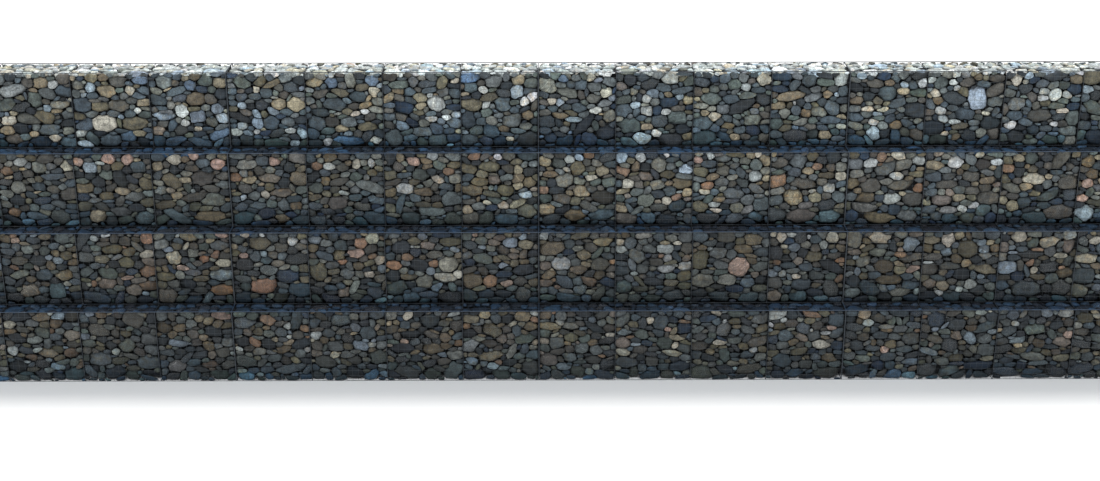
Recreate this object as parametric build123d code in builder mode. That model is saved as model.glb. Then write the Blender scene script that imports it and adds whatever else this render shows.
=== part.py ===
"""A run of a stepped gabion retaining wall: four tiers of stone-filled wire baskets.

X runs along the wall, the front looks towards -Y, and Z is up from the ground. Each tier is a row of baskets
end to end. A basket is an open wire cage divided into cells by cross panels, the stone packed into each cell,
and a lid wired down on top. Every tier stands back from the front of the one below it, and the hidden back
steps in the same way.
"""

import os
from math import sqrt

from build123d import *

# Along the wall
cell_length = 1000.0  # from one cross panel to the next
cells_per_basket = 4
baskets_per_tier = 4
basket_joint = 0.4  # between the wires of two baskets laced end to end

# Up and across the wall
tiers = ("bottom", "second", "third", "top")
tier_height = 1000.0
top_tier_depth = 500.0
front_setback = 250.0
back_setback = 250.0

# Stone fill
front_belly = 25.0  # how far the packed stones push out the middle of a cell's front
belly_slack = 3.0  # how much further they would push mesh that only the rails above and below it held
panel_gap = 4.0  # left between the stones of two cells by the mesh of the cross panel

# Edge wires of the cages and lids
edge_wire = 5.0
wire_clearance = 0.3

lid_underside = tier_height - edge_wire - wire_clearance
cage_height = lid_underside - wire_clearance

# The stones round off at every edge of a cell, and the bevel there clears the inner corner of the cage's upper
# rail, which lies one wire in from the face and two wires down from the top, with the edge of the lid over it
edge_bevel = edge_wire + (tier_height - cage_height + edge_wire) + sqrt(2) * wire_clearance

basket_length = cells_per_basket * cell_length
basket_pitch = basket_length + basket_joint


def tier_depth(tier):
    """Depth of a tier from its front to its back, where tier 0 is at the bottom."""
    steps = len(tiers) - 1 - tier
    return top_tier_depth + steps * (front_setback + back_setback)


def tier_middle(tier):
    """Y of the middle of a tier's depth. The bottom tier is centred on the origin with its belly."""
    return front_belly / 2 + tier * (front_setback - back_setback) / 2


def basket_places(tier):
    """Where the baskets of a tier stand: the bottom centre of each one's front-to-back middle."""
    first = -(baskets_per_tier - 1) / 2 * basket_pitch
    return [
        (first + basket * basket_pitch, tier_middle(tier), tier * tier_height)
        for basket in range(baskets_per_tier)
    ]


def bowed_outline(plane, half_width, half_depth, bow):
    """Outline of a cell in a plane whose Y axis runs from the cell's front to its back. It is bevelled at its
    corners, and its front bows out between the bevels.
    """
    front = -half_depth
    inner_width = half_width - edge_bevel
    inner_depth = half_depth - edge_bevel
    with BuildSketch(plane) as outline:
        with BuildLine():
            ThreePointArc((-inner_width, front), (0, front - bow), (inner_width, front))
            Polyline(
                (inner_width, front),
                (half_width, -inner_depth),
                (half_width, inner_depth),
                (inner_width, half_depth),
                (-inner_width, half_depth),
                (-half_width, inner_depth),
                (-half_width, -inner_depth),
                (-inner_width, front),
            )
        make_face()
    return outline.sketch


def packed_cell(depth):
    """Stone fill of one cell, centred on X and Y with its underside at Z = 0.

    Its plan bows out at the front between the cross panels, and its section bows a little more between the
    rails, so the solid that they share bellies both ways from straight edges, as packed stones push a panel of
    mesh that its edge wires hold. The back lies flat against the ground that the wall retains.
    """
    upright = Plane(origin=(0, 0, tier_height / 2), x_dir=(0, 0, 1), z_dir=(-1, 0, 0))
    plan = bowed_outline(Plane.XY, (cell_length - panel_gap) / 2, depth / 2, front_belly)
    section = bowed_outline(upright, tier_height / 2, depth / 2, front_belly + belly_slack)
    with BuildPart() as cell:
        extrude(plan, amount=tier_height)
        extrude(section, amount=cell_length, both=True, mode=Mode.INTERSECT)
        chamfer(cell.edges().filter_by(Axis.Y), edge_bevel)
    return cell.part


def panel_wires():
    """X of the edge wires that run across a basket: one at each end and one at each cross panel."""
    outer = (basket_length - edge_wire) / 2
    inner = [panel * cell_length - basket_length / 2 for panel in range(1, cells_per_basket)]
    return [-outer, *inner, outer]


def basket_cage(depth):
    """Edge wires of a basket without its lid, fused where they cross."""
    wire_row = (depth - edge_wire) / 2
    upper_rail = cage_height - edge_wire
    bottom_only = (Align.CENTER, Align.CENTER, Align.MIN)
    with BuildPart() as cage:
        with Locations(*[(0, y, z) for y in (-wire_row, wire_row) for z in (0, upper_rail)]):
            Box(basket_length, edge_wire, edge_wire, align=bottom_only)
        with Locations(*[(x, 0, z) for x in panel_wires() for z in (0, upper_rail)]):
            Box(edge_wire, depth, edge_wire, align=bottom_only)
        with Locations(*[(x, y, 0) for x in panel_wires() for y in (-wire_row, wire_row)]):
            Box(edge_wire, edge_wire, cage_height, align=bottom_only)
    return cage.part


def basket_lid(depth):
    """Edge wires of a lid, joined round its outline, at its height in the basket."""
    with BuildPart() as lid:
        with BuildSketch(Plane.XY.offset(lid_underside)):
            Rectangle(basket_length, depth)
            Rectangle(basket_length - 2 * edge_wire, depth - 2 * edge_wire, mode=Mode.SUBTRACT)
        extrude(amount=edge_wire)
    return lid.part


os.makedirs("parts", exist_ok=True)

for tier, tier_name in enumerate(tiers):
    depth = tier_depth(tier)
    cell = packed_cell(depth)
    cage = basket_cage(depth)
    lid = basket_lid(depth)

    for number, (x, y, z) in enumerate(basket_places(tier), start=1):
        first_cell = x - (cells_per_basket - 1) / 2 * cell_length
        with BuildPart() as stone_fill:
            with Locations(*[(first_cell + i * cell_length, y, z) for i in range(cells_per_basket)]):
                add(cell)
        stone_fill.part.label = f"{tier_name}_tier_stone_fill_{number}"
        export_step(stone_fill.part, f"parts/{stone_fill.part.label}.step")

        with BuildPart() as wire_cage:
            with Locations((x, y, z)):
                add(cage)
        wire_cage.part.label = f"{tier_name}_tier_wire_cage_{number}"
        export_step(wire_cage.part, f"parts/{wire_cage.part.label}.step")

    with BuildPart() as lids:
        with Locations(*basket_places(tier)):
            add(lid)
    lids.part.label = f"{tier_name}_tier_lids"
    export_step(lids.part, f"parts/{lids.part.label}.step")
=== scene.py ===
"""Looks of a stepped gabion wall: its packed stones, the mesh over them and its lacing.

Metres, in the frame of the solids: X along the wall, the front looks towards -Y, Z is up from the ground.
"""

import itertools
import math
from collections import namedtuple

import bpy
import numpy as np
from mathutils import Euler, Matrix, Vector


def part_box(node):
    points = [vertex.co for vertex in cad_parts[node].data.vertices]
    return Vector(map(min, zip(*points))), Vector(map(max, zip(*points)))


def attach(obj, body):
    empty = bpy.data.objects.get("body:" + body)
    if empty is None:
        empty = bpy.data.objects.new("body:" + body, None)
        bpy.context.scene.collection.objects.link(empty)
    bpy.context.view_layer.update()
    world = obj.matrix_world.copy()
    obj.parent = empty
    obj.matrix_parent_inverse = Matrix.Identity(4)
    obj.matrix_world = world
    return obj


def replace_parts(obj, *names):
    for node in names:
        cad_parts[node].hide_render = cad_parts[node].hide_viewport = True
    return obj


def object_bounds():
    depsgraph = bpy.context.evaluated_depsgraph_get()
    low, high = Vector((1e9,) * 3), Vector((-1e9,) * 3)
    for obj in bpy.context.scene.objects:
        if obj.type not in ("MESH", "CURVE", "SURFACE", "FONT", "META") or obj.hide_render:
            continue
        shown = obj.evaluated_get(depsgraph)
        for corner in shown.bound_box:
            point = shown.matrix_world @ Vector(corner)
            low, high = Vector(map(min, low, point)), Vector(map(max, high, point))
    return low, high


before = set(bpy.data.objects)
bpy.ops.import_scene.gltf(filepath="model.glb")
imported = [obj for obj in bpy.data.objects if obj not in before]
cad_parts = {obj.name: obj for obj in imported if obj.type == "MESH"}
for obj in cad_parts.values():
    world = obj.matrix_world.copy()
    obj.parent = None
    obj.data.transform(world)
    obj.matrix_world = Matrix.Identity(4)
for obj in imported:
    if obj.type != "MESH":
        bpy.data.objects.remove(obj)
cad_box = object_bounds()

# The wall, as the frame has it
TIERS = ("bottom", "second", "third", "top")
BASKETS = sum(name.startswith("top_tier_stone_fill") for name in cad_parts)
CELL = 1.0  # from one cross panel to the next
BELLY = 0.025  # how far the middle of a cell's front bows out

# Panels that stones are packed into
SEAM = 0.002  # from the edge of a panel to its stones
BASKET_END = 0.006  # left to the wires at a basket's ends
CORNER_STONES = 0.045  # strip of a top or an end that the next face's stones fill
LID_BACK = 0.008  # left bare at the back of the wall's top
RAGGED = 0.034  # by how much a front's uppermost stones fall short of the lids, at most
RAGGED_WAVES = (0.012, 0.021, 0.06)  # lengths of that edge's waves, over 2 pi

# Outlines of stones: superellipses, with an exponent that is 2 for an ellipse and high for a rectangle
STONES_PER_M2 = 84
EXTRA_STONES = 1.06  # times as many, because the least ones get lost
FILLED = 0.93  # share of a panel that the outlines cover
LEAST_FILLED = 0.05  # share left to the rest where landmarks crowd
AREA_SPREAD = 0.78  # deviation of the logarithm of the areas
LARGEST_AREA = 0.045
FLATNESS = (2.0, 0.42)  # gamma distribution of width over height, less 1
FLATTEST = 3.4
WIDEST = 0.45  # half size beside the panel's size, at most
ASKEW_SHARE = 0.16
ASKEW_TILT = 1.5
LEVEL_TILT = 0.2
SQUARENESS = (1.6, 4.2)
LANDMARK_SQUARENESS = 2.5
BLOCK = 9.0

# Places of stones
EDGE_ROOM = 0.8  # kept from a panel's edge, in half sizes
PLACES_TRIED = 36
LEVEL_GAPS = 1.25  # how much more a gap above or below a stone counts than one beside it
LEAST_GAP = 1e-6  # between two middles, so that none is divided by
HEAVY_STONE = 0.09  # half width from which stones tend to lie low
HEAVY_PULL = 0.35
SETTLING_ROUNDS = 5
SETTLING_GRID = 0.014
LANDMARK_ROOM = 0.9  # kept from a panel's edge, in half sizes
FOOT_MARGIN = 0.02  # landmarks nearer to a tier's foot aren't its own
TOP_MARGIN = 0.01  # nor are those nearer to its top

# How far stones reach towards their neighbours, beside their superellipses
OUTLINE_GRID = 0.006
LEAST_REACH, MOST_REACH, REACH_STEP = 0.3, 1.9, 0.03
ROUNDING = (0.1, 0.5)
ROUNDING_TURNS = 2
CORNER_REACH = 0.02
CHIPPED = (0.95, 1.0)
JOINT = 0.001  # half of the gap between two stones
JOINT_RANGE = (0.3, 2.4)
THINNEST_REACH = 0.1

# Bodies of stones: how many corners a ring has, each ring's width and height from the front to the back, as
# shares of the outline and of the dome, and the height of the back
BODIES = {
    "small": (9, ((0.80, 0.84), (1.0, 0.20), (0.74, -0.80)), -1.2),
    "middle": (13, ((0.68, 0.92), (0.94, 0.60), (1.0, 0.05), (0.74, -0.95)), -1.3),
    "large": (18, ((0.56, 0.96), (0.85, 0.78), (0.975, 0.42), (1.0, -0.05), (0.75, -0.95)), -1.3),
    "plain": (8, ((0.70, 0.84), (0.98, 0.28), (0.9, -0.60)), -0.9),
}
SMALL_STONE = 0.05  # mean half size below which a stone's body is small
MIDDLE_STONE = 0.088
LEAST_STONE = 0.013  # smaller ones are left out
STONE_BODY = 0.10  # how deep behind a face its stones reach, at most
DOME = 0.62  # height of a stone's front over its lesser half size
DOME_RANGE = (0.012, 0.045)
DOME_VARIETY = (0.75, 1.15)
OFF_CENTRE = 0.10
LUMPS = 0.035
UNEVENNESS = 0.07
SLOPE = 0.085
SUNK = 0.009  # behind the mesh, at most
SET_BACK = 0.012  # some stones lie this much deeper
SET_BACK_SHARE = 0.2
BROKEN_TURNS = 3
BROKEN_SHARE = 0.6
BROKEN_LEAN = (0.25, 1.1)
BROKEN_AT = (0.70, 0.95)
UNBROKEN = 9.0

# Rubble behind the stones, coloured near black as painted shade deep in the gaps between them
RUBBLE_INSET = (0.085, 0.085, 0.051)
RUBBLE_COUNTS = (56, 7, 5)
RUBBLE_LUMPS = 0.018

# Mesh, welded from round wire, and lacing
OPENINGS = 13  # of the mesh, along each metre
MESH_WIRE = 0.0027
LEVEL_WIRES = 2.6  # how deep the middles of the level wires lie, in radii
WIRE_ENDS = (0.001, 0.999)  # of the panel's width or height
BELLIED_STEPS = 4  # of a wire, where the face bows out
LACING_WIRE = 0.0026
TIE_SPACING = 0.15
SPIRAL_PITCH = 0.05
SPIRAL_STEPS = 8

# The first number of each seed
FRONT, BACK, ENDS, TOP, RUBBLE, RIM = range(1, 7)

# Camera, fitted to the photograph's tier edges and seams
PHOTO_WIDTH, PHOTO_HEIGHT = 1100, 481
FOCAL_PIXELS = 1568.3
CAMERA_ACROSS = 0.091
CAMERA_BEFORE_TOP_TIER = 19.519
CAMERA_ABOVE_WALL = 5.061
CAMERA_PITCH = math.radians(20.678)
CAMERA_YAW = math.radians(-0.168)
CAMERA_ROLL = math.radians(-0.078)
SENSOR = 36.0
FAR = 1000

# Floor and sky, and the strength, softness, elevation, azimuth and colour of each lamp
FLOOR_REACH = 150
FLOOR_DEPTH = 0.0005
FLOOR_SURFACE = {"Base Color": (0.8, 0.8, 0.8, 1), "Roughness": 0.9, "Specular IOR Level": 0.1}
SKY_LIGHT = {"Color": (0.93, 0.96, 1.0, 1), "Strength": 0.48}
SKY_SEEN = {"Color": (1, 1, 1, 1), "Strength": 1.0}
LAMPS = {
    "high_lamp": (3.0, 12, 68, 160, (1.0, 0.98, 0.95)),
    "front_fill": (1.7, 40, 56, -8, (0.95, 0.98, 1.0)),
}

# Rock colours, in sRGB
TINTS = dict(
    deep=(15, 29, 43), dusk=(40, 66, 92), black=(42, 49, 55), navy=(38, 54, 72), slate=(68, 80, 88),
    blue=(92, 110, 130), sky=(86, 114, 150), haze=(120, 134, 145), ice=(154, 172, 185),
    grey=(93, 100, 102), green=(87, 98, 95), stone=(114, 117, 111), umber=(80, 79, 75),
    olive=(95, 92, 76), brown=(104, 95, 78), rust=(130, 107, 88), orange=(156, 124, 101),
    tan=(141, 133, 113), cream=(178, 175, 161), rose=(126, 118, 110), pink=(172, 149, 138),
    pale=(161, 168, 168), white=(197, 204, 205),
)

# Parts of each colour among the stones that no landmark names
# Ledges get dark blue stones: painted shade of the tier above them
SHADED_LEDGE_MIX = dict(deep=44, dusk=46, navy=10)
MIXES = {
    "top": dict(
        black=13, navy=4, slate=26, grey=18, green=11, stone=10, haze=4, umber=12, olive=6, brown=3,
        tan=3, pale=2,
    ),
    "third": dict(
        black=15, navy=3, slate=16, grey=16, green=9, stone=9, umber=16, olive=10, brown=8, rust=1,
        tan=4, rose=2, pale=1,
    ),
    "second": dict(
        black=19, navy=4, slate=17, grey=14, green=8, stone=7, umber=15, olive=9, brown=8, rust=3,
        tan=5, rose=3, pale=3, haze=3, cream=2,
    ),
    "bottom": dict(
        black=19, navy=4, slate=16, grey=14, green=8, stone=7, umber=15, olive=8, brown=7, rust=3,
        tan=5, rose=3, pale=4, cream=3, haze=3, pink=1,
    ),
    "hidden": dict(
        black=13, navy=3, slate=19, grey=17, green=9, stone=9, umber=14, olive=7, brown=5, rust=1,
        tan=5, rose=2, pale=3, pink=1, cream=3, haze=3, ice=1,
    ),
    "shaded_ledge": SHADED_LEDGE_MIX,
    "low_shaded_ledge": SHADED_LEDGE_MIX,
    # Pale stones on top of the wall: painted sunlight
    "lid": dict(stone=4, haze=5, pale=52, cream=9, white=20, ice=10),
}

# Brightness of the stones of each mix: painted shade makes them darker down the wall and on the lower
# ledges, and painted sunlight makes them paler on the lids
TONES = {
    "top": 0.94, "third": 0.74, "second": 0.49, "bottom": 0.49,
    "shaded_ledge": 1.0, "low_shaded_ledge": 0.62, "lid": 1.2, "hidden": 0.9,
}

# How much stones of one colour differ in brightness: less on top of the wall, whose pale, even stones are
# painted sunlight
VARIETY = 0.24
SUNLIT_LID_VARIETY = 0.10
VARIETY_RANGE = (0.5, 1.6)
HUE_VARIETY = 0.018
COLOUR_RANGE = (0.004, 0.85)

# The third tier's stones are darker up to this X and paler after it
SIDE_SPLIT_X = -1.0
SIDE_TONES = {"third": (0.86, 1.09)}  # times its tone

# Shares of red, green and blue left to stones at heights above the foot of a front: painted shade, darker
# and bluer towards the foot
FOOT_SHADE_HEIGHTS = (0.04, 0.12, 0.30, 0.50)
FOOT_SHADE_SHARES = ((0.19, 0.43, 0.77, 1.0), (0.41, 0.60, 0.84, 1.0), (0.64, 0.76, 0.89, 1.0))

# Sunlit stones along the upper edge of the wall's front. The drop of a middle is in half heights.
RIM_TINTS = {"white": 0.34, "cream": 0.22, "pale": 0.26, "ice": 0.08, "stone": 0.1}
RIM_SHARE = 0.25
RIM_START = (0.01, 0.04)
RIM_END = 0.03
RIM_HALF_WIDTH = (0.025, 0.075)
RIM_HALF_HEIGHT = (0.014, 0.05)
RIM_TILT = 0.15
RIM_DROP = (0.7, 1.1)

# Colours of speckles, and those by which stains and veins multiply a stone's own
STAIN = (1.14, 0.97, 0.78, 1)
SPECKLE = (0.5, 0.49, 0.46, 1)
VEIN = (2.6, 2.6, 2.5, 1)
APART = (40, 40, 40)  # keeps the pattern of one stone away from that of the next
VEIN_TURNS = 6

# Shades of rubble, near black as painted shade, of rust and of the dull zinc on each kind of wire, in sRGB
RUBBLE_PAINTED_SHADES = ((13, 15, 18), (36, 37, 38))
RUST = (88, 70, 58)
ZINC = {
    "cage": ((46, 52, 60), (60, 66, 72), (76, 80, 86)),
    "mesh": ((66, 72, 78), (80, 86, 90), (94, 98, 100)),
    # painted shade: wire on the ledges is darker and bluer
    "shaded_ledge": ((42, 60, 82), (54, 72, 94), (68, 84, 102)),
    # painted sunlight: wire on top of the wall is paler
    "lid": ((104, 108, 112), (122, 125, 126), (138, 138, 134)),
}
ZINC_STOPS = (0.30, 0.52, 0.66, 0.80)

# Stones that stand out in the photograph: each one's colour, the column and row of its middle in pixels, its
# real width and height in centimetres, how many degrees its right end is tilted up, if at all, and the word
# block if its sides are straight
CENTIMETRES = 100
LANDMARKS = """
pale 52 85 14 11, ice 89 88 13 15 20, cream 129 91 13 12 -15, blue 138 81 18 11 5, tan 219 84 18 12 -10
blue 189 86 15 15 -60, brown 196 100 27 19, umber 209 100 13 17 80, white 181 111 20 18 -45
ice 223 119 15 18 70, stone 60 105 29 10 -2, olive 44 117 31 16 -18, tan 141 103 14 11
white 137 111 8 11 60, cream 105 124 34 24 -5, olive 134 124 38 17 3, tan 139 134 20 9 -5
rose 156 131 16 14, pale 185 123 11 11, cream 198 129 12 9, cream 9 121 23 13 8, tan 7 131 19 12
cream 56 139 18 9 -5, pale 80 134 10 17 -70, slate 110 142 31 18 2, ice 87 144 21 8 -15, ice 242 106 14 10
cream 256 90 11 9, slate 241 98 16 13, pale 257 132 10 8, pale 235 133 10 16 80, slate 266 93 17 15
grey 66 116 15 12 20, stone 67 131 14 11 10, tan 33 135 15 10, umber 14 140 27 13, brown 102 78 12 10
tan 314 84 22 12 8, blue 331 84 17 13, blue 371 81 17 16 -30, cream 373 92 13 15 70, green 400 85 31 10 8
tan 420 98 20 13 8, pale 436 104 24 22 -30, navy 404 108 25 19 -5, pale 432 119 21 8 -3
white 446 118 13 9 -5, ice 455 115 12 8, cream 355 114 13 7 5, white 365 112 10 8, ice 302 134 15 15 45
ice 295 144 15 9, pale 290 131 17 8 -5, pale 328 142 12 11 30, pale 375 141 15 10, tan 341 129 17 10 5
sky 470 78 25 14 2, cream 455 81 8 12 -75, white 483 90 10 11 60, tan 518 81 17 13 20
white 524 102 14 12 30, white 532 97 12 12 -45, brown 528 116 14 14, stone 492 121 17 13 -15
grey 512 121 27 18 5, slate 469 141 23 17, black 527 140 27 20 20, cream 510 139 14 7 -3
navy 486 142 18 14, tan 421 106 15 9, olive 419 113 16 8, blue 564 79 13 10, cream 591 78 12 11
pale 670 80 25 13, cream 552 102 9 13 -75, ice 560 103 12 11, cream 606 93 16 11 5, white 596 111 16 10 -5
slate 579 108 21 14 -15, stone 609 117 18 17 60, pale 647 99 13 13, pale 647 111 15 18 80
ice 636 105 14 9 15, tan 688 101 14 12, stone 634 92 11 10, tan 647 127 16 10 5, ice 643 139 30 15 -5
white 657 134 15 10 -15, brown 560 116 23 9, grey 564 130 13 12 20, navy 589 140 23 17 -15
black 670 140 35 18, navy 551 139 18 16, olive 567 124 10 8, brown 504 129 18 9 -8, green 734 85 17 14
pale 747 88 12 10, cream 764 80 18 16 -40, pale 842 81 20 17, ice 862 76 10 13 80, ice 905 85 11 9
slate 811 81 19 19, cream 715 117 16 13 10, tan 705 113 12 8, stone 785 114 13 16 70, brown 806 113 13 12
tan 828 94 13 11 15, ice 837 95 7 7, brown 858 101 15 13, cream 868 109 16 7, cream 883 110 18 7 12
tan 842 117 16 6 -5, white 873 122 15 9 -10, ice 874 134 20 18 -55, tan 825 135 13 18 75
slate 838 139 15 8 10, pale 845 127 8 13 80, olive 689 137 11 15 80, tan 735 137 10 18 85
black 795 136 32 18 3, umber 810 127 17 9, brown 728 126 19 8 -8, umber 745 137 8 18 85
umber 765 138 12 17 70, slate 776 135 10 19 80, white 954 83 12 8, umber 969 83 21 12 5
green 942 83 18 15 30, ice 978 99 24 32 8 block, cream 936 94 11 13 70, cream 1018 81 15 13 30
ice 1030 77 13 8 10, white 1056 95 16 14 45, pale 1068 95 13 10 -20, pale 1044 92 13 10 -10
pale 1042 98 14 9 10, cream 1062 111 19 8 3, white 1055 124 13 8 -5, white 1011 126 16 11 25
green 1076 119 19 18 20, pale 941 111 16 11 -10, cream 985 113 11 6 -5, pale 954 122 16 8
cream 945 134 13 8 5, brown 956 137 13 9 20, stone 982 133 17 13 15, brown 896 126 17 14
umber 921 135 16 21 60, umber 998 134 15 20 85, green 1031 142 20 10 5, stone 1070 141 19 11 5
black 1016 137 24 18, navy 1075 90 20 14, pink 108 160 21 12 -12, pink 127 160 18 13 25, ice 89 168 23 15
pink 74 163 12 14 70, pale 20 163 18 12, cream 174 161 21 14 5, pink 192 157 15 11 15
pink 217 165 18 15 20, rust 236 178 16 12, umber 202 179 31 18 3, tan 177 196 19 11 8, tan 98 217 24 18
brown 210 217 42 15, rust 14 213 19 14, rust 6 172 16 13, stone 19 188 20 17, slate 39 187 21 11
slate 138 168 17 21 90, slate 53 177 36 9 3, olive 106 196 24 11, grey 135 197 28 13 2
cream 265 195 11 12 45, ice 243 198 8 9, pink 274 162 15 13, cream 65 167 16 12 -60, pink 414 162 19 11 -5
pale 432 157 15 10, rust 474 157 17 10, white 498 158 11 7 -10, rust 316 167 16 12, white 329 167 15 10 5
pale 371 164 12 10 -30, cream 356 165 14 12 30, pale 406 189 22 15, cream 438 180 17 11 -20
rust 448 172 16 10, olive 470 191 31 15, olive 506 191 27 16 -5, brown 480 182 22 13 -5
tan 518 170 12 13 60, ice 526 195 20 10, cream 503 206 14 12, cream 487 202 14 7 -5, tan 464 211 12 16 70
umber 471 219 25 16 15, umber 338 203 27 18 5, brown 529 183 17 15 20, pale 344 193 19 6 -20
olive 384 176 18 14, brown 296 206 17 11, brown 282 219 18 12, tan 543 162 17 13 -25, pale 569 160 13 11
ice 579 158 7 13 65, rust 589 156 13 10 20, tan 602 172 14 18 85, cream 590 178 17 9
stone 565 181 24 20 20, ice 618 159 17 13, pale 641 159 12 15 70, white 667 155 10 8 -20
stone 659 165 20 18 -10, ice 687 170 21 13 -5, cream 629 184 18 13, rust 624 172 11 14 60
rust 543 191 14 11, tan 622 192 25 6 10, stone 658 185 25 13 10, brown 681 184 28 14 -3, tan 546 210 23 15
brown 575 216 27 18 -5, tan 619 209 19 11 -8, cream 666 201 13 12, umber 625 219 33 13
slate 688 219 14 13, pale 711 154 11 10, tan 751 153 12 10, cream 758 154 7 8 60, pink 694 161 9 13 80
pale 755 177 15 19 80, rust 779 181 27 16 25, umber 804 184 40 15 -8, cream 841 177 16 12
pale 829 188 17 13 20, grey 799 162 21 19 -30, rust 818 167 17 10 -5, tan 794 198 24 24
pale 892 199 24 16 5, rust 708 186 18 12, cream 705 192 18 8 -8, pale 715 205 16 9, cream 717 211 18 6 -5
umber 801 216 40 19 5, brown 878 218 45 14 -3, navy 850 217 17 16, cream 899 156 18 10 -8
pale 871 164 17 11 15, olive 855 153 13 9, rust 883 158 12 11, stone 858 175 18 12 -5, umber 871 186 25 21
brown 853 184 14 18 -70, olive 701 207 15 19 75, black 708 219 33 14, slate 734 219 28 13
pale 919 162 16 13 -10, tan 936 166 23 12 -5, white 956 163 20 16, cream 981 155 11 9
white 996 163 8 15 85, rust 1005 169 12 17 80, tan 1019 159 15 10 -10, brown 1090 162 17 15 60
cream 1034 179 29 16 -6, umber 971 177 25 15, slate 935 178 21 15 5, brown 989 181 24 10
rust 920 189 16 13 -30, pale 898 177 18 11 -8, tan 959 198 17 13, white 962 209 15 11 -30
pale 974 206 15 10 20, tan 1000 201 12 12, tan 1013 207 17 16, umber 1058 213 40 21, ice 1086 214 22 23
umber 1068 183 27 19 15, pink 1088 184 16 12 20, slate 937 217 15 13, slate 979 220 20 10
navy 994 219 19 16 20, grey 907 216 26 16 -5, pink 1084 199 13 10 15, rust 12 235 9 8, pink 15 241 14 8
umber 20 261 24 11, black 38 261 24 14, rose 30 291 26 18 10, haze 57 261 18 10, white 105 236 13 6 15
olive 112 250 32 12 5, orange 149 238 17 18 90, cream 145 255 17 12, cream 174 258 20 19
pink 183 268 18 7, green 108 274 28 17 -8, rose 107 284 26 14, pink 127 278 19 7 5, rose 133 291 25 15
rust 94 284 9 10 80, pink 220 236 21 7 -12, grey 218 246 26 12, orange 204 259 15 10 10
rust 215 255 12 10 30, cream 224 264 24 11, haze 220 276 32 17, rust 222 291 33 16, pink 243 256 13 8
olive 259 245 31 17, white 261 235 5 7 80, white 292 242 12 11, black 245 265 24 18, rose 277 264 18 9
orange 264 287 36 24 5, haze 315 241 17 11, orange 360 244 16 14, cream 372 239 18 15 -30
pink 356 254 22 13, orange 343 262 15 7, cream 369 275 17 11 -5, rose 344 293 16 14, haze 422 237 13 10
rose 428 246 22 11 -5, pink 475 235 8 6, rose 493 243 15 10, ice 523 237 8 7
tan 526 246 20 13, pale 543 237 13 11, brown 551 249 36 19 12, cream 379 261 15 12 25
orange 395 266 20 14, cream 448 265 26 22 5, rose 513 256 16 10, ice 503 265 13 8 5, rose 546 266 15 12
pale 561 264 19 28 90, stone 424 282 25 18 25, brown 472 281 28 22, orange 490 282 18 17
pink 507 284 17 11, rose 545 284 22 10, tan 603 243 28 12, brown 579 270 25 13, umber 600 265 26 17
cream 619 243 12 8, pale 666 269 25 12 10, olive 698 261 29 22 80, stone 703 281 31 20
pink 739 268 29 28 80, stone 727 280 26 18, cream 782 238 13 13, cream 784 247 10 6 10, white 809 237 6 7
cream 833 239 17 14, pale 824 246 12 12, stone 851 240 25 21 85, rose 852 253 20 8
cream 880 239 30 16 -10, haze 911 245 22 20 80, haze 773 274 13 12, pale 783 274 10 11 80
rose 755 275 12 9, rose 798 261 13 12, haze 858 272 10 12, rose 775 296 20 15, slate 801 285 28 18
pink 912 270 18 9 25, stone 900 293 30 12, tan 928 241 23 12, cream 949 240 18 18, olive 968 250 29 26
haze 947 253 16 12, tan 967 263 15 11 10, haze 985 250 16 12 10, rose 1002 248 13 14 70
cream 1020 238 20 14, haze 1012 248 13 8, cream 1049 243 31 14 15, pale 1070 233 17 15
rose 1069 247 19 16 80, cream 1096 241 15 11, cream 1060 256 18 8, cream 1088 259 27 15 5
cream 1034 270 13 9 40, slate 1085 277 28 26, umber 930 270 25 17, rose 930 285 16 15, tan 943 286 17 15
white 959 289 10 8 -20, pale 971 285 18 13, slate 1027 290 42 25 -5, stone 1080 292 24 20
pale 939 293 12 7 -10, haze 1097 288 13 15 80
"""


def srgb(red, green, blue):
    """Linear colour of an sRGB one in 0 to 255."""
    return tuple(
        c / 12.92 if c <= 0.04045 else ((c + 0.055) / 1.055) ** 2.4
        for c in (red / 255, green / 255, blue / 255)
    )


# A placed stone: U and V of its middle in a panel, its half sizes, tilt, exponent and colour
Stone = namedtuple("Stone", "u v a b tilt square tint")


def tier_box(tier):
    """Lowest and highest corner of a tier's baskets, without the belly of the stones."""
    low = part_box(f"{tier}_tier_wire_cage_1")[0]
    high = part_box(f"{tier}_tier_wire_cage_{BASKETS}")[1]
    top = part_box(f"{tier}_tier_lids")[1].z
    return np.array([low.x, low.y, low.z]), np.array([high.x, high.y, top])


def add_object(name, data):
    """A new object in the scene."""
    added = bpy.data.objects.new(name, data)
    bpy.context.scene.collection.objects.link(added)
    return added


def make_camera():
    """The photograph's camera: its place and its turn."""
    low, _ = tier_box("top")
    data = bpy.data.cameras.new("photo_camera")
    data.sensor_width = SENSOR
    data.sensor_fit = "HORIZONTAL"
    data.lens = FOCAL_PIXELS / PHOTO_WIDTH * SENSOR
    data.clip_end = FAR
    camera = add_object("photo_camera", data)
    place = (CAMERA_ACROSS, low[1] - CAMERA_BEFORE_TOP_TIER, cad_box[1].z + CAMERA_ABOVE_WALL)
    level = Euler((math.pi / 2 - CAMERA_PITCH, 0, CAMERA_YAW)).to_matrix()
    turn = level @ Matrix.Rotation(CAMERA_ROLL, 3, "Z")
    camera.matrix_world = Matrix.Translation(place) @ turn.to_4x4()
    bpy.context.scene.camera = camera
    return np.array(place), np.array(turn)


def seen_at(camera, column, row, face_y):
    """X and Z where a pixel of the photograph falls on the plane Y = face_y."""
    place, turn = camera
    ray = turn @ np.array([column - PHOTO_WIDTH / 2, PHOTO_HEIGHT / 2 - row, -FOCAL_PIXELS])
    point = place + ray * (face_y - place[1]) / ray[1]
    return point[0], point[2]


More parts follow.
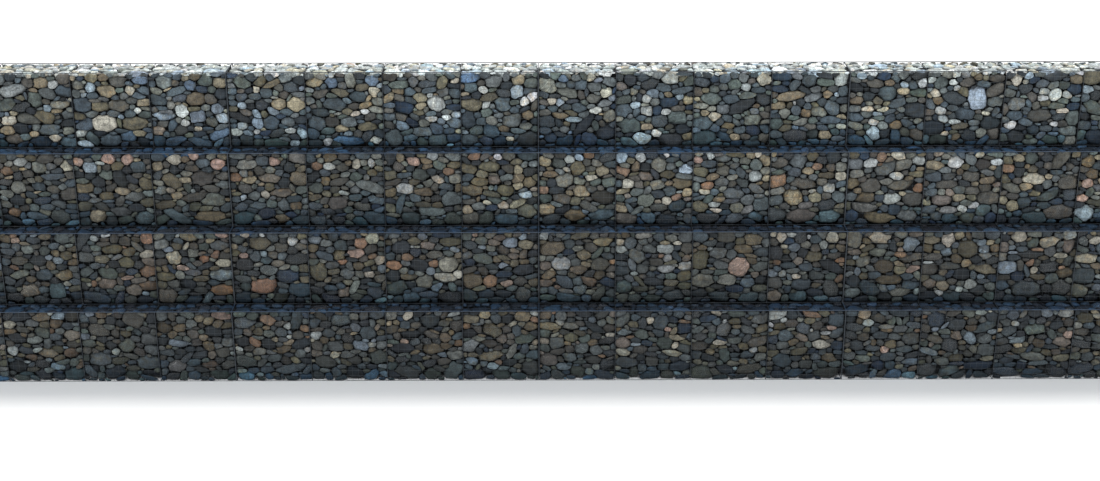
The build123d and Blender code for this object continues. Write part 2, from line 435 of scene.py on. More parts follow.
class Panel:
    """A flat patch of the wall with stones packed behind it. Its third coordinate runs outwards."""

    def __init__(self, corner, along, up, width, height, belly=0.0):
        self.corner = np.array(corner, float)
        self.axes = np.array([along, up, np.cross(along, up)], float)
        self.width = width
        self.height = height
        self.belly = belly

    def bow(self, u, v):
        """How far the face bows out at a point of it."""
        bow_along = np.clip(4 * u / self.width * (1 - u / self.width), 0, 1)
        bow_up = np.clip(4 * v / self.height * (1 - v / self.height), 0, 1)
        return self.belly * bow_along * bow_up

    def place(self, u, v, w):
        """Points in the wall's frame."""
        return self.corner + np.stack([u, v, w + self.bow(u, v)], -1) @ self.axes


def front_panels(tier):
    """The fronts of a tier's cells, from left to right."""
    low, high = tier_box(tier)
    for basket in range(BASKETS):
        left, right = (corner.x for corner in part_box(f"{tier}_tier_wire_cage_{basket + 1}"))
        cells = int(round((right - left) / CELL))
        for cell in range(cells):
            start = left + cell * CELL + (BASKET_END if cell == 0 else 0)
            end = left + (cell + 1) * CELL - (BASKET_END if cell == cells - 1 else 0)
            corner = (start, low[1], low[2])
            yield Panel(corner, (1, 0, 0), (0, 0, 1), end - start, high[2] - low[2], BELLY)


def back_panels(tier):
    """The flat backs of a tier's cells, in the order of its fronts."""
    low, high = tier_box(tier)
    for panel in front_panels(tier):
        corner = (panel.corner[0] + panel.width, high[1], low[2])
        yield Panel(corner, (-1, 0, 0), (0, 0, 1), panel.width, panel.height)


def end_panels(tier, margin=0.0):
    """The right and the left end of a tier, less a margin next to its front and its back."""
    low, high = tier_box(tier)
    depth = high[1] - low[1] - 2 * margin
    height = high[2] - low[2]
    yield Panel((high[0], low[1] + margin, low[2]), (0, 1, 0), (0, 0, 1), depth, height)
    yield Panel((low[0], high[1] - margin, low[2]), (0, -1, 0), (0, 0, 1), depth, height)


def top_panel(front, start, end, top):
    """The upper side of a cell between two places in Y."""
    return Panel((front.corner[0], start, top), (1, 0, 0), (0, 1, 0), front.width, end - start)


def nearest_stone(points, sites):
    """Index of the outline that each point lies nearest to."""
    nearest = np.full(len(points), np.inf)
    owner = np.zeros(len(points), int)
    for i, (u, v, a, b, tilt, square) in enumerate(sites):
        du, dv = points[:, 0] - u, points[:, 1] - v
        along = np.abs(math.cos(tilt) * du + math.sin(tilt) * dv) / a
        across = np.abs(math.cos(tilt) * dv - math.sin(tilt) * du) / b
        reach = ((along ** square + across ** square) ** (1 / square) - 1) * math.sqrt(a * b)
        owner[reach < nearest] = i
        nearest = np.minimum(reach, nearest)
    return owner


def grid_points(width, height, step):
    """Middles of the squares of a grid over a panel, with its numbers of rows and columns."""
    columns = max(int(round(width / step)), 2)
    rows = max(int(round(height / step)), 2)
    u = (np.arange(columns) + 0.5) * width / columns
    v = (np.arange(rows) + 0.5) * height / rows
    return np.stack(np.meshgrid(u, v), -1).reshape(-1, 2), (rows, columns)


def scatter(rng, width, height, fixed):
    """Outlines of natural sizes spread over a panel round the fixed ones, as rows of a Stone's numbers."""
    taken = math.pi * np.sum(fixed[:, 2] * fixed[:, 3])
    room = max(width * height * FILLED - taken, LEAST_FILLED * width * height)
    count = max(int(round(room * STONES_PER_M2 * EXTRA_STONES)), 2)
    areas = np.sort(rng.lognormal(0, AREA_SPREAD, count))[::-1]
    areas = np.minimum(areas / areas.sum() * room, LARGEST_AREA)
    aspect = np.minimum(1 + rng.gamma(*FLATNESS, count), FLATTEST)
    a = np.minimum(np.sqrt(areas * aspect / math.pi), width * WIDEST)
    b = np.minimum(np.sqrt(areas / aspect / math.pi), height * WIDEST)
    askew = rng.random(count) < ASKEW_SHARE
    askew_tilt = rng.uniform(-ASKEW_TILT, ASKEW_TILT, count)
    tilt = np.where(askew, askew_tilt, rng.normal(0, LEVEL_TILT, count))
    square = rng.uniform(*SQUARENESS, count)
    sites = [list(row) for row in fixed]
    for i in range(count):
        edge_u, edge_v = a[i] * EDGE_ROOM, b[i] * EDGE_ROOM
        tries = rng.uniform((edge_u, edge_v), (width - edge_u, height - edge_v), (PLACES_TRIED, 2))
        if sites:
            placed = np.array(sites)
            gap = tries[:, None, :] - placed[None, :, :2]
            apart = np.hypot(gap[..., 0], gap[..., 1] * LEVEL_GAPS) + LEAST_GAP
            crowding = ((math.sqrt(a[i] * b[i]) + np.sqrt(placed[:, 2] * placed[:, 3])) / apart).max(1)
        else:
            crowding = tries[:, 0]
        pull = HEAVY_PULL if a[i] > HEAVY_STONE else 0.0
        best = tries[np.argmin(crowding + pull * tries[:, 1] / height)]
        sites.append([best[0], best[1], a[i], b[i], tilt[i], square[i]])
    return np.array(sites)


def settle(sites, fixed_count, width, height):
    """Moves every free outline to the middle of the room that it has, a few times over."""
    points, _ = grid_points(width, height, SETTLING_GRID)
    for _ in range(SETTLING_ROUNDS):
        owner = nearest_stone(points, sites)
        held = np.bincount(owner, minlength=len(sites))
        for axis in (0, 1):
            middle = np.bincount(owner, points[:, axis], len(sites)) / np.maximum(held, 1)
            moved = np.where(held > 0, middle, sites[:, axis])
            sites[fixed_count:, axis] = moved[fixed_count:]
    return sites


def outline_reach(rng, sites, chosen, corners, owner, width, height):
    """How far each chosen stone reaches towards its corners, beside its outline, and the steps to them."""
    u, v, a, b, tilt, square = (column[:, None] for column in sites[chosen].T)
    around = np.arange(corners) * 2 * math.pi / corners
    along, across = a * np.cos(around), b * np.sin(around)
    du = np.cos(tilt) * along - np.sin(tilt) * across
    dv = np.sin(tilt) * along + np.cos(tilt) * across
    steps = np.arange(LEAST_REACH, MOST_REACH, REACH_STEP)
    rows, columns = owner.shape
    column = np.floor((u[..., None] + du[..., None] * steps) / width * columns).astype(int)
    row = np.floor((v[..., None] + dv[..., None] * steps) / height * rows).astype(int)
    inside = (column >= 0) & (column < columns) & (row >= 0) & (row < rows)
    nearest = owner[np.clip(row, 0, rows - 1), np.clip(column, 0, columns - 1)]
    own = inside & (nearest == chosen[:, None, None])
    first_out = np.where(own.all(-1), len(steps) - 1, np.argmin(own, axis=-1))
    reach = steps[first_out] - REACH_STEP / 2
    rounding = rng.uniform(*ROUNDING, (len(chosen), 1)) * (square < BLOCK)
    for _ in range(ROUNDING_TURNS):
        beside = (np.roll(reach, 1, 1) + np.roll(reach, -1, 1)) / 2
        reach = np.minimum(reach, (1 - rounding) * reach + rounding * beside + CORNER_REACH)
    reach *= rng.uniform(*CHIPPED, reach.shape)
    joint = JOINT * rng.uniform(*JOINT_RANGE, (len(chosen), 1))
    return np.maximum(reach - joint / np.hypot(du, dv), THINNEST_REACH), du, dv


def stone_bodies(panel, rng, outlines, reach, du, dv, kind):
    """Corners of the closed body of each stone, in the wall's frame."""
    corners, rings, back = BODIES[kind]
    count = len(outlines)
    u, v, a, b = outlines[:, :4].T
    size = reach.mean(1) * np.sqrt(a * b)
    dome = np.clip(DOME * reach.mean(1) * np.minimum(a, b), *DOME_RANGE) * rng.uniform(*DOME_VARIETY, count)
    shift = rng.normal(0, OFF_CENTRE, (count, 2)) * size[:, None]
    lump = rng.normal(0, LUMPS, (count, len(rings), corners))
    shape = np.empty((count, len(rings) * corners + 2, 3))
    for ring, (share, height) in enumerate(rings):
        span = slice(ring * corners, (ring + 1) * corners)
        grow = share * reach * (1 + (lump[:, ring] if share < 1 else 0))
        slide = (1 - share) * (1 if height > 0 else 0)
        shape[:, span, 0] = du * grow + shift[:, :1] * slide
        shape[:, span, 1] = dv * grow + shift[:, 1:] * slide
        shape[:, span, 2] = dome[:, None] * height * (1 + rng.normal(0, UNEVENNESS, (count, corners)))
    shape[:, -2, :2] = shift
    shape[:, -2, 2] = dome
    shape[:, -1, :2] = 0
    shape[:, -1, 2] = dome * back
    shape = break_faces(rng, shape, np.stack([size, size, dome], -1)[:, None, :])
    slope = rng.normal(0, SLOPE, (count, 2))
    shape[..., 2] += shape[..., 0] * slope[:, :1] + shape[..., 1] * slope[:, 1:]
    set_back = rng.uniform(0, SUNK, count)
    set_back += rng.choice([0, SET_BACK], count, p=[1 - SET_BACK_SHARE, SET_BACK_SHARE])
    shape[..., 2] -= (shape[..., 2].max(1) + MESH_WIRE + set_back)[:, None]
    shape[..., 2] = np.maximum(shape[..., 2], -STONE_BODY)
    u = np.clip(shape[..., 0] + u[:, None], -SEAM / 2, panel.width + SEAM / 2)
    v = np.clip(shape[..., 1] + v[:, None], -SEAM / 2, panel.height + SEAM / 2)
    return panel.place(u, v, shape[..., 2])


def break_faces(rng, shape, scale):
    """Flattens a few faces on the front of some stones, as broken rock has them."""
    count = len(shape)
    unit = shape / scale
    for _ in range(BROKEN_TURNS):
        around = rng.uniform(0, 2 * math.pi, count)
        lean = rng.uniform(*BROKEN_LEAN, count)
        level = np.sin(lean)
        normal = np.stack([np.cos(around) * level, np.sin(around) * level, np.cos(lean)], -1)
        limit = np.where(rng.random(count) < BROKEN_SHARE, rng.uniform(*BROKEN_AT, count), UNBROKEN)
        over = np.maximum(np.einsum("ijk,ik->ij", unit, normal) - limit[:, None], 0)
        unit = unit - over[..., None] * normal[:, None, :]
    return unit * scale


def body_faces(kind):
    """Quads and triangles of one stone's body."""
    corners, rings, _ = BODIES[kind]
    here = np.arange(corners)
    after = np.roll(here, -1)
    last = (len(rings) - 1) * corners
    quads = [
        np.stack([ring + here, ring + corners + here, ring + corners + after, ring + after], -1)
        for ring in range(0, last, corners)
    ]
    front = last + corners
    rear = front + 1
    triangles = [
        np.stack([np.full(corners, front), here, after], -1),
        np.stack([np.full(corners, rear), last + after, last + here], -1),
    ]
    return np.concatenate(quads), np.concatenate(triangles)


def add_piece(name, mesh, material):
    """A mesh as one piece of the wall."""
    mesh.materials.append(material)
    piece = add_object(name, mesh)
    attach(piece, "root")
    return piece


class Pile:
    """Mesh data gathered for one piece."""

    def __init__(self):
        self.parts = []
        self.count = 0

    def add(self, points, quads, triangles, tints, traits):
        """Adds bodies that share their faces: points is bodies by corners by 3."""
        bodies, corners, _ = points.shape
        start = self.count + np.arange(bodies)[:, None, None] * corners
        quads = (quads[None] + start).reshape(-1, 4)
        triangles = (triangles[None] + start).reshape(-1, 3)
        tints, traits = np.repeat(tints, corners, 0), np.repeat(traits, corners, 0)
        self.parts.append((points.reshape(-1, 3), quads, triangles, tints, traits))
        self.count += bodies * corners

    def build(self, name, material):
        """The piece, as one mesh."""
        points, quads, triangles, tints, traits = map(np.concatenate, zip(*self.parts))
        corners = np.concatenate([quads.ravel(), triangles.ravel()])
        starts = np.concatenate([np.arange(len(quads)) * 4, quads.size + np.arange(len(triangles)) * 3])
        mesh = bpy.data.meshes.new(name)
        mesh.vertices.add(len(points))
        mesh.vertices.foreach_set("co", points.astype(np.float32).ravel())
        mesh.loops.add(len(corners))
        mesh.loops.foreach_set("vertex_index", corners.astype(np.int32))
        mesh.polygons.add(len(starts))
        mesh.polygons.foreach_set("loop_start", starts.astype(np.int32))
        mesh.polygons.foreach_set("use_smooth", np.ones(len(starts), bool))
        mesh.update(calc_edges=True)
        for label, values in (("stone_tint", tints), ("stone_traits", traits)):
            colours = np.column_stack([values, np.ones(len(values))])
            attribute = mesh.color_attributes.new(label, "FLOAT_COLOR", "POINT")
            attribute.data.foreach_set("color", colours.astype(np.float32).ravel())
        return add_piece(name, mesh, material)


def stone_tints(rng, count, mix, named):
    """Colours of stones: the named ones first, and the rest drawn from a mix."""
    names = list(MIXES[mix])
    weights = np.array(list(MIXES[mix].values()), float)
    drawn = rng.choice(len(names), count - len(named), p=weights / weights.sum())
    tints = np.array([srgb(*TINTS[name]) for name in [*named, *(names[i] for i in drawn)]])
    variety = SUNLIT_LID_VARIETY if mix == "lid" else VARIETY
    value = np.clip(rng.normal(1.0, variety, (count, 1)), *VARIETY_RANGE)
    value[:len(named)] = 1.0
    hue = rng.normal(1.0, HUE_VARIETY, (count, 3))
    # The tone of a mix carries its painted shade or painted sunlight
    return np.clip(tints * TONES[mix] * value * hue, *COLOUR_RANGE)


def pack(pile, panel, seed, mix, fixed=(), side_tone=1.0):
    """Packs a panel with stones. A bellied front has a ragged top, painted shade at its foot and finer
    bodies.
    """
    rng = np.random.default_rng(seed)
    width, height = panel.width - 2 * SEAM, panel.height - 2 * SEAM
    along, up, _ = panel.axes
    inner = Panel(panel.corner + along * SEAM + up * SEAM, along, up, width, height, panel.belly)
    held = np.array([stone[:-1] for stone in fixed], float).reshape(-1, 6)
    held[:, :2] -= SEAM
    sites = settle(scatter(rng, width, height, held), len(held), width, height)
    points, shape = grid_points(width, height, OUTLINE_GRID)
    owner = nearest_stone(points, sites)
    if panel.belly:
        waves = sum(np.sin(points[:, 0] / length + place) for length, place in zip(RAGGED_WAVES, seed))
        owner[points[:, 1] > height - RAGGED * (0.5 + waves / (2 * len(RAGGED_WAVES)))] = -1
    owner = owner.reshape(shape)
    tints = stone_tints(rng, len(sites), mix, [stone.tint for stone in fixed]) * side_tone
    size = np.sqrt(sites[:, 2] * sites[:, 3])
    kinds = np.where(size < SMALL_STONE, "small", np.where(size < MIDDLE_STONE, "middle", "large"))
    # Painted shade: free stones near a front's foot get darker and bluer; landmarks there are already named
    # in darker colours
    if panel.belly:
        shade = [np.interp(sites[len(fixed):, 1], FOOT_SHADE_HEIGHTS, shares) for shares in FOOT_SHADE_SHARES]
        tints[len(fixed):] *= np.stack(shade, -1)
    else:
        kinds[:] = "plain"
    traits = rng.random((len(sites), 3))
    for kind, (corners, *_) in BODIES.items():
        chosen = np.flatnonzero(kinds == kind)
        if not len(chosen):
            continue
        reach, du, dv = outline_reach(rng, sites, chosen, corners, owner, width, height)
        kept = reach.mean(1) * size[chosen] > LEAST_STONE
        chosen = chosen[kept]
        bodies = stone_bodies(inner, rng, sites[chosen], reach[kept], du[kept], dv[kept], kind)
        pile.add(bodies, *body_faces(kind), tints[chosen], traits[chosen])


def rim_stones(rng, panel, others):
    """Sunlit stones along the upper edge of a panel, between the landmarks that reach it."""
    u = rng.uniform(*RIM_START)
    while u < panel.width - RIM_END:
        a = rng.uniform(*RIM_HALF_WIDTH)
        b = rng.uniform(*RIM_HALF_HEIGHT)
        u += a
        v = panel.height - b * rng.uniform(*RIM_DROP)
        clear = all(abs(u - stone.u) > a + stone.a or v - stone.v > b + stone.b for stone in others)
        if clear and rng.random() < RIM_SHARE:
            tint = rng.choice(list(RIM_TINTS), p=list(RIM_TINTS.values()))
            tilt = rng.normal(0, RIM_TILT)
            yield Stone(min(u, panel.width - a), v, a, b, tilt, LANDMARK_SQUARENESS, tint)
        u += a


def landmarks(camera, panel):
    """The landmark stones whose middles the photograph shows on a panel of a front."""
    for entry in LANDMARKS.strip().replace("\n", ",").split(","):
        tint, column, row, wide, high, *more = entry.split()
        x, z = seen_at(camera, float(column), float(row), panel.corner[1])
        u, v = x - panel.corner[0], z - panel.corner[2]
        if 0 <= u < panel.width and FOOT_MARGIN < v < panel.height - TOP_MARGIN:
            a, b = float(wide) / CENTIMETRES / 2, float(high) / CENTIMETRES / 2
            tilt = math.radians(float(more[0])) if more else 0.0
            square = BLOCK if "block" in more else LANDMARK_SQUARENESS
            room = LANDMARK_ROOM * math.hypot(a * math.cos(tilt), b * math.sin(tilt))
            u = min(max(u, room + SEAM), panel.width - room - SEAM)
            room = LANDMARK_ROOM * math.hypot(a * math.sin(tilt), b * math.cos(tilt))
            v = min(max(v, room + SEAM), panel.height - room - SEAM)
            yield Stone(u, v, a, b, tilt, square, tint)


def front_stones(tier, number, camera, material):
    """Stones of a tier's front, with the landmarks where the photograph shows them."""
    pile = Pile()
    before, after = SIDE_TONES.get(tier, (1.0, 1.0))
    for cell, panel in enumerate(front_panels(tier)):
        fixed = list(landmarks(camera, panel))
        if tier == TIERS[-1]:
            fixed += list(rim_stones(np.random.default_rng((RIM, cell)), panel, fixed))
        side_tone = before if panel.corner[0] + panel.width / 2 < SIDE_SPLIT_X else after
        pack(pile, panel, (FRONT, number, cell), tier, fixed, side_tone)
    return pile.build(f"{tier}_tier_front_stones", material)


def hidden_stones(tier, side, panels, seed, material):
    """Stones of a side of a tier that the photograph doesn't show."""
    pile = Pile()
    for i, panel in enumerate(panels):
        pack(pile, panel, (*seed, i), "hidden")
    return pile.build(f"{tier}_tier_{side}_stones", material)


def top_stones(tier, number, material):
    """Stones of the upper side of a tier: all of the top one, or the ledges beside the next tier."""
    pile = Pile()
    low, high = tier_box(tier)
    if tier == TIERS[-1]:
        strips = [(low[1] + CORNER_STONES / 2, high[1] - LID_BACK, "lid")]
    else:
        above = tier_box(TIERS[number + 1])
        # Ledge stones carry painted shade, darker still on the lower ledges
        shaded_ledge = "shaded_ledge" if TIERS[number + 1] == TIERS[-1] else "low_shaded_ledge"
        strips = [
            (low[1] + CORNER_STONES, above[0][1] + CORNER_STONES, shaded_ledge),
            (above[1][1] - CORNER_STONES, high[1] - CORNER_STONES, "hidden"),
        ]
    for cell, panel in enumerate(front_panels(tier)):
        for strip, (start, end, mix) in enumerate(strips):
            pack(pile, top_panel(panel, start, end, high[2]), (TOP, number, cell, strip), mix)
    return pile.build(f"{tier}_tier_top_stones", material)


def core(tier, number, material):
    """Lumpy rubble behind the outer stones, near black as painted shade, which closes the gaps between them.
    """
    low, high = tier_box(tier)
    sides = [
        np.linspace(start + inset, end - inset, count + 1)
        for start, end, inset, count in zip(low, high, RUBBLE_INSET, RUBBLE_COUNTS)
    ]
    corners = {}
    faces = []
    for axis, last in enumerate(RUBBLE_COUNTS):
        first, second = (n for n in range(3) if n != axis)
        across = range(RUBBLE_COUNTS[first]), range(RUBBLE_COUNTS[second])
        for end, p, q in itertools.product((0, last), *across):
            loop = []
            for dp, dq in ((0, 0), (1, 0), (1, 1), (0, 1)):
                at = [0, 0, 0]
                at[axis], at[first], at[second] = end, p + dp, q + dq
                loop.append(corners.setdefault(tuple(at), len(corners)))
            outward = (end > 0) == (axis != 1)
            faces.append(loop if outward else loop[::-1])
    points = np.stack([side[i] for side, i in zip(sides, np.array(list(corners)).T)], 1)
    points += np.random.default_rng((RUBBLE, number)).uniform(-RUBBLE_LUMPS, RUBBLE_LUMPS, points.shape)
    mesh = bpy.data.meshes.new(f"{tier}_tier_core")
    mesh.from_pydata(points.tolist(), [], faces)
    return add_piece(f"{tier}_tier_core", mesh, material)


def prisms(pile, paths, radius, side):
    """Adds wires along paths, as closed three-sided prisms. side is a direction across them."""
    paths = np.asarray(paths, float)
    side = np.asarray(side, float)
    count, steps, _ = paths.shape
    run = np.gradient(paths, axis=1)
    run /= np.linalg.norm(run, axis=2, keepdims=True)
    across = side - run * (run @ side)[..., None]
    across /= np.linalg.norm(across, axis=2, keepdims=True)
    other = np.cross(across, run)
    corners = []
    for third in range(3):
        angle = math.pi * (0.5 + third * 2 / 3)
        corners.append(paths + radius * (math.cos(angle) * other + math.sin(angle) * across))
    points = np.stack(corners, 2).reshape(count, steps * 3, 3)
    last = (steps - 1) * 3
    starts = np.arange(0, last, 3)[:, None]
    here = starts + np.arange(3)
    after = starts + np.roll(np.arange(3), -1)
    quads = np.stack([here, after, after + 3, here + 3], -1).reshape(-1, 4)
    caps = np.array([[2, 1, 0], [last, last + 1, last + 2]])
    blank = np.zeros((count, 3))
    pile.add(points, quads, caps, blank, blank)


def mesh_over(pile, panel, steps):
    """Welded mesh over a panel, on its bellied surface."""
    radius = MESH_WIRE / 2
    columns = max(int(round(panel.width * OPENINGS)), 2)
    rows = max(int(round(panel.height * OPENINGS)), 2)
    share = np.linspace(*WIRE_ENDS, steps + 1)
    u = np.arange(1, columns)[:, None] / columns * panel.width + 0 * share
    v = share * panel.height + 0 * u
    prisms(pile, panel.place(u, v, 0 * u - radius), radius, panel.axes[0])
    v = np.arange(1, rows)[:, None] / rows * panel.height + 0 * share
    u = share * panel.width + 0 * v
    prisms(pile, panel.place(u, v, 0 * u - LEVEL_WIRES * radius), radius, panel.axes[1])


def side_mesh(tier, material):
    """Mesh of a tier's front, back and ends."""
    pile = Pile()
    for panel in front_panels(tier):
        mesh_over(pile, panel, BELLIED_STEPS)
    for panel in (*back_panels(tier), *end_panels(tier)):
        mesh_over(pile, panel, 1)
    return pile.build(f"{tier}_tier_side_mesh", material)


def lid_mesh(tier, number, material):
    """Mesh of a tier's lids, where no other tier stands on it."""
    pile = Pile()
    low, high = tier_box(tier)
    strips = [(low[1], high[1])]
    if tier != TIERS[-1]:
        above = tier_box(TIERS[number + 1])
        strips = [(low[1], above[0][1]), (above[1][1], high[1])]
    for panel in front_panels(tier):
        for start, end in strips:
            mesh_over(pile, top_panel(panel, start, end, high[2]), 1)
    return pile.build(f"{tier}_tier_lid_mesh", material)


def lacing(tier, material):
    """Ties over the lids' rails, and the spirals that lace a tier's baskets end to end.

    The back of the lowest tier has none, because they would stand out of the wall's box there.
    """
    pile = Pile()
    radius = LACING_WIRE / 2
    low, high = tier_box(tier)
    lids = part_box(f"{tier}_tier_lids")
    rail = lids[1].z - lids[0].z
    # A tie in section: how far outside the rail's face it runs, and how many rails below the top of the lid
    tie = np.array([
        (-0.8 * rail, 0.25),
        (1.2 * radius, 0.35),
        (1.6 * radius, 1.0),
        (1.2 * radius, 1.85),
        (-0.8 * rail, 2.25),
    ])
    places = np.arange(low[0] + TIE_SPACING / 2, high[0], TIE_SPACING)
    turns = int((high[2] - low[2]) / SPIRAL_PITCH) - 1
    angle = np.arange(turns * SPIRAL_STEPS + 1) * 2 * math.pi / SPIRAL_STEPS
    z = low[2] + SPIRAL_PITCH * (0.5 + angle / (2 * math.pi))
    for face_y, outward in ((low[1], -1), (high[1], 1)):
        if face_y + LACING_WIRE > cad_box[1].y:
            continue
        paths = np.empty((len(places), len(tie), 3))
        paths[..., 0] = places[:, None]
        paths[..., 1] = face_y + outward * tie[:, 0]
        paths[..., 2] = high[2] - rail * tie[:, 1]
        prisms(pile, paths, radius, (1, 0, 0))
        for basket in range(1, BASKETS):
            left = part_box(f"{tier}_tier_wire_cage_{basket}")[1].x
            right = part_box(f"{tier}_tier_wire_cage_{basket + 1}")[0].x
            x = (left + right) / 2 + ((right - left) / 2 + rail + radius) * np.cos(angle)
            y = face_y - outward * rail / 2 + (rail / 2 + radius) * np.sin(angle)
            prisms(pile, np.stack([x, y, z], -1)[None], radius, (0, 0, 1))
    return pile.build(f"{tier}_tier_lacing", material)


def connect(node, inputs):
    """Sets the inputs of a shader node, each to a number, a colour or the output of another node."""
    for socket, value in inputs.items():
        if isinstance(value, bpy.types.NodeSocket):
            node.id_data.links.new(value, node.inputs[socket])
        else:
            node.inputs[socket].default_value = value


def add_node(tree, kind, inputs, output=0, **settings):
    """Adds a shader node and gives one of its outputs."""
    node = tree.nodes.new(f"ShaderNode{kind}")
    for setting, value in settings.items():
        setattr(node, setting, value)
    connect(node, inputs)
    return node.outputs[output]


def noise(place, scale, detail, roughness=0.5):
    """Noise over places."""
    inputs = {"Vector": place, "Scale": scale, "Detail": detail, "Roughness": roughness}
    return add_node(place.id_data, "TexNoise", inputs, "Fac")


def spread(value, before, after):
    """Maps the range before to the range after, and values outside to its ends."""
    names = ("From Min", "From Max", "To Min", "To Max")
    inputs = dict(zip(names, (*before, *after)), Value=value)
    return add_node(value.id_data, "MapRange", inputs, "Result")


def product(first, second):
    """Multiplies two values."""
    return add_node(first.id_data, "Math", {0: first, 1: second}, operation="MULTIPLY")


def blend(kind, factor, first, second):
    """Blends a second colour into a first one."""
    inputs = {0: factor, 6: first, 7: second}
    return add_node(first.id_data, "Mix", inputs, 2, data_type="RGBA", blend_type=kind)


def ramp(value, stops, shades):
    """Shades, given in sRGB, at stops along a value."""
    output = add_node(value.id_data, "ValToRGB", {"Fac": value}, "Color")
    elements = output.node.color_ramp.elements
    while len(elements) < len(stops):
        elements.new(0.5)
    for element, stop, shade in zip(elements, stops, shades):
        element.position = stop
        element.color = (*srgb(*shade), 1)
    return output


def new_material(name):
    """A new material with its nodes and its shader."""
    material = bpy.data.materials.new(name)
    material.use_nodes = True
    return material, material.node_tree, material.node_tree.nodes["Principled BSDF"]


def stone_material():
    """River stone: each stone's own colour, stained, mottled, speckled and faintly veined."""
    material, tree, shader = new_material("river_stone")
    tint = add_node(tree, "Attribute", {}, "Color", attribute_name="stone_tint")
    traits = add_node(tree, "Attribute", {}, "Vector", attribute_name="stone_traits")
    speckled_share, veined_share, stained_share = add_node(tree, "SeparateXYZ", {0: traits}).node.outputs
    place = add_node(tree, "TexCoord", {}, "Object")
    place = add_node(tree, "VectorMath", {0: traits, 1: APART, 2: place}, operation="MULTIPLY_ADD")
    fine = noise(place, scale=50, detail=4, roughness=0.75)
    grain = noise(place, scale=260, detail=2, roughness=0.8)

    stain = spread(noise(place, scale=15, detail=3, roughness=0.6), (0.48, 0.62), (0.0, 1.0))
    stain = product(stain, spread(stained_share, (0.2, 0.9), (0.0, 1.0)))
    colour = blend("MULTIPLY", stain, tint, STAIN)
    mottle = spread(noise(place, scale=11, detail=3, roughness=0.6), (0.34, 0.66), (0.58, 1.40))
    colour = blend("MULTIPLY", 1.0, colour, mottle)
    colour = blend("MULTIPLY", 1.0, colour, spread(fine, (0.35, 0.65), (0.54, 1.50)))
    speckle = spread(grain, (0.58, 0.66), (0.0, 1.0))
    speckle = product(speckle, spread(speckled_share, (0.45, 1.0), (0.0, 0.55)))
    colour = blend("MIX", speckle, colour, SPECKLE)

    turns = add_node(tree, "VectorMath", {0: traits, "Scale": VEIN_TURNS}, operation="SCALE")
    inputs = {"Vector": place, "Rotation": turns}
    turned = add_node(tree, "VectorRotate", inputs, rotation_type="EULER_XYZ")
    inputs = {"Vector": turned, "Scale": 4.5, "Distortion": 2.4, "Detail": 2.5, "Detail Scale": 2.2}
    vein = spread(add_node(tree, "TexWave", inputs, "Fac"), (0.988, 0.998), (0.0, 1.0))
    vein = product(vein, spread(fine, (0.35, 0.6), (0.4, 1.0)))
    vein = product(vein, spread(veined_share, (0.82, 0.88), (0.0, 0.8)))
    colour = blend("MULTIPLY", vein, colour, VEIN)

    relief = blend("MIX", 0.35, noise(place, scale=42, detail=5, roughness=0.7), grain)
    inputs = {"Strength": 0.7, "Distance": 0.006, "Height": relief}
    connect(shader, {
        "Base Color": colour,
        "Roughness": spread(fine, (0.3, 0.7), (0.62, 0.9)),
        "Specular IOR Level": 0.35,
        "Normal": add_node(tree, "Bump", inputs, "Normal"),
    })
    return material


def wire_material(name, zinc):
    """Weathered galvanised wire: dull zinc in three shades, with a little rust."""
    material, tree, shader = new_material(name)
    bloom = noise(add_node(tree, "TexCoord", {}, "Object"), scale=9, detail=5)
    colour = ramp(bloom, ZINC_STOPS, (*zinc, RUST))
    roughness = spread(bloom, (0.0, 1.0), (0.45, 0.75))
    connect(shader, {"Base Color": colour, "Roughness": roughness, "Metallic": 0.35})
    return material


def rubble_material():
    """Rubble deep between the stones, near black as painted shade."""
    material, tree, shader = new_material("rubble_painted_shade")
    mottle = noise(add_node(tree, "TexCoord", {}, "Object"), scale=14, detail=4)
    colour = ramp(mottle, (0.0, 1.0), RUBBLE_PAINTED_SHADES)
    connect(shader, {"Base Color": colour, "Roughness": 0.95, "Specular IOR Level": 0.2})
    return material


def lay_floor():
    """A plain pale floor."""
    mesh = bpy.data.meshes.new("floor")
    corners = [(x * FLOOR_REACH, y * FLOOR_REACH, 0) for x, y in ((-1, -1), (1, -1), (1, 1), (-1, 1))]
    mesh.from_pydata(corners, [], [(0, 1, 2, 3)])
    material, _, shader = new_material("floor")
    connect(shader, FLOOR_SURFACE)
    mesh.materials.append(material)
    floor = add_object("floor", mesh)
    floor.location.z = -FLOOR_DEPTH


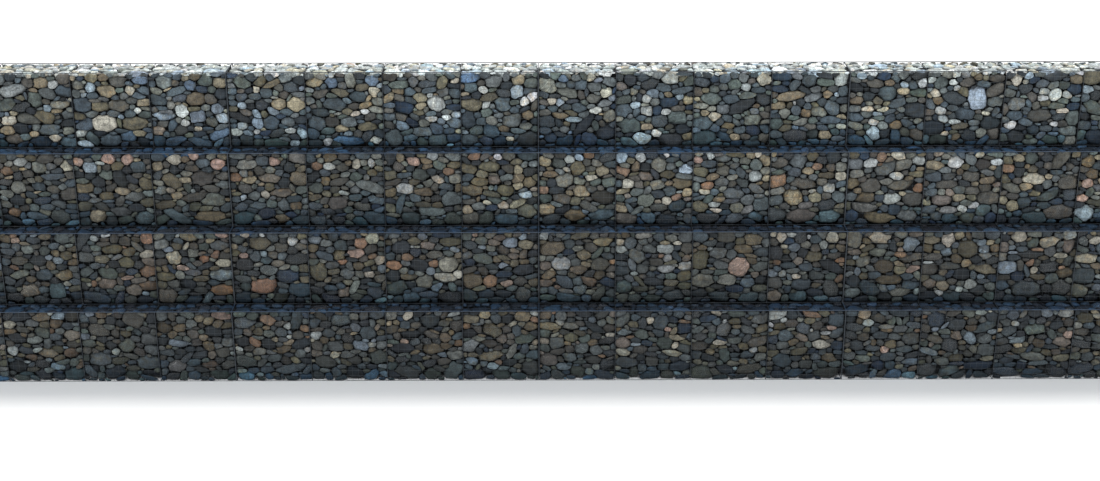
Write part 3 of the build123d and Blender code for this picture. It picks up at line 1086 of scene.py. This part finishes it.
def light_wall():
    """An even pale sky, a soft lamp high behind the wall and a wide one before it, as in the photograph."""
    world = bpy.data.worlds.new("sky")
    bpy.context.scene.world = world
    world.use_nodes = True
    tree = world.node_tree
    light = tree.nodes["Background"]
    connect(light, SKY_LIGHT)
    seen = add_node(tree, "Background", SKY_SEEN)
    rays = add_node(tree, "LightPath", {}).node.outputs
    direct = {0: rays["Is Camera Ray"], 1: rays["Is Glossy Ray"]}
    shown = add_node(tree, "Math", direct, operation="MAXIMUM")
    sky = add_node(tree, "MixShader", {"Fac": shown, 1: light.outputs[0], 2: seen})
    connect(tree.nodes["World Output"], {"Surface": sky})
    for name, (strength, softness, elevation, azimuth, colour) in LAMPS.items():
        data = bpy.data.lights.new(name, "SUN")
        data.energy = strength
        data.angle = math.radians(softness)
        data.color = colour
        lamp = add_object(name, data)
        lamp.rotation_euler = Euler((math.radians(90 - elevation), 0, math.radians(azimuth)))


scene = bpy.context.scene
scene.view_settings.view_transform = "Standard"
camera = make_camera()
stone = stone_material()
rubble = rubble_material()
wires = {use: wire_material(f"galvanised_{use}_wire", zinc) for use, zinc in ZINC.items()}

for number, tier in enumerate(TIERS):
    fills = [f"{tier}_tier_stone_fill_{basket + 1}" for basket in range(BASKETS)]
    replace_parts(front_stones(tier, number, camera, stone), *fills)
    hidden_stones(tier, "back", back_panels(tier), (BACK, number), stone)
    hidden_stones(tier, "end", end_panels(tier, CORNER_STONES), (ENDS, number), stone)
    top_stones(tier, number, stone)
    core(tier, number, rubble)
    side_mesh(tier, wires["mesh"])
    lacing(tier, wires["cage"])
    highest = tier == TIERS[-1]
    # The top tier's lid mesh takes the paler, painted sunlit wire, and the lower ones the painted shaded
    # wire
    lid_mesh(tier, number, wires["lid" if highest else "shaded_ledge"])
    # The lower tiers' lids take the painted shaded ledge wire
    for name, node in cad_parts.items():
        if name.startswith(f"{tier}_tier_wire_cage") or name == f"{tier}_tier_lids":
            for slot in node.material_slots:
                slot.material = wires["shaded_ledge" if name.endswith("lids") and not highest else "cage"]

lay_floor()
light_wall()
